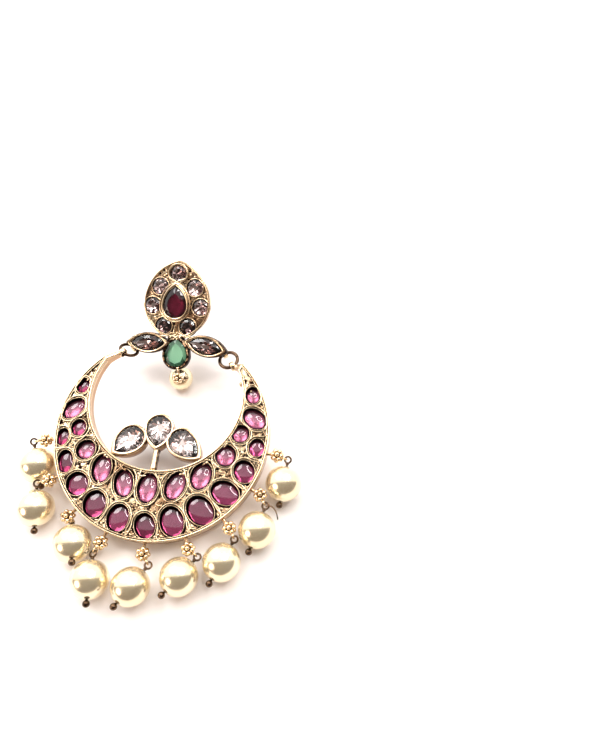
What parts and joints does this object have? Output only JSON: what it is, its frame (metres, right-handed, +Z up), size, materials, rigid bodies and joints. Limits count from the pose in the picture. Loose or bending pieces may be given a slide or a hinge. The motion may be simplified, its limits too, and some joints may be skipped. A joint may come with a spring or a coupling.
{
  "type": "chandbali earring",
  "caption": "Crescent earring lying face up: a pear-shaped stud carries a stone-set cast crescent on two jump rings, with pearl drops along its outer edge.",
  "frame": {"origin": "middle of the footprint, on the surface that the earring lies on", "axes": "+Y from the pearls towards the stud, +Z up out of the surface, +X to the right as it lies face up"},
  "size_m": [0.0636, 0.0775, 0.0211],
  "materials": {
    "antique_gold": "cast and plated, oxidised in the recesses, worn bright on the rims",
    "dark_wire": "drawn wire, dark bronze patina",
    "pink_stone": "polished cabochon",
    "wine_stone": "polished, faceted",
    "green_stone": "polished",
    "clear_stone": "polished, faceted, foil backed",
    "pearl": "cream nacre"
  },
  "bodies": {
    "root": {"crescent_frame": "antique_gold", "stud_frame": "antique_gold", "ear_post": "antique_gold", "link_left": "dark_wire", "link_right": "dark_wire", "ruby_left_1": "pink_stone", "ruby_left_2": "pink_stone", "ruby_inner_1": "pink_stone", "ruby_inner_2": "pink_stone", "ruby_inner_3": "pink_stone", "ruby_inner_4": "pink_stone", "ruby_inner_5": "pink_stone", "ruby_inner_6": "pink_stone", "ruby_inner_7": "pink_stone", "ruby_inner_8": "pink_stone", "ruby_inner_9": "pink_stone", "ruby_outer_1": "pink_stone", "ruby_outer_2": "pink_stone", "ruby_outer_3": "pink_stone", "ruby_outer_4": "pink_stone", "ruby_outer_5": "pink_stone", "ruby_outer_6": "pink_stone", "ruby_outer_7": "pink_stone", "ruby_outer_8": "pink_stone", "ruby_outer_9": "pink_stone", "ruby_outer_10": "pink_stone", "ruby_outer_11": "pink_stone", "ruby_right_2": "pink_stone", "ruby_right_1": "pink_stone", "fan_stone_left": "clear_stone", "fan_stone_centre": "clear_stone", "fan_stone_right": "clear_stone", "marquise_left": "clear_stone", "marquise_right": "clear_stone", "stud_ruby": "wine_stone", "stud_green": "green_stone", "round_stones": "clear_stone", "pearl_small": "pearl", "pin_small": "dark_wire", "pearl_1": "pearl", "pearl_2": "pearl", "pearl_3": "pearl", "pearl_4": "pearl", "pearl_5": "pearl", "pearl_6": "pearl", "pearl_7": "pearl", "pearl_8": "pearl", "pearl_9": "pearl", "pin_1": "dark_wire", "pin_2": "dark_wire", "pin_3": "dark_wire", "pin_4": "dark_wire", "pin_5": "dark_wire", "pin_6": "dark_wire", "pin_7": "dark_wire", "pin_8": "dark_wire", "pin_9": "dark_wire"}
  },
  "joints": []
}
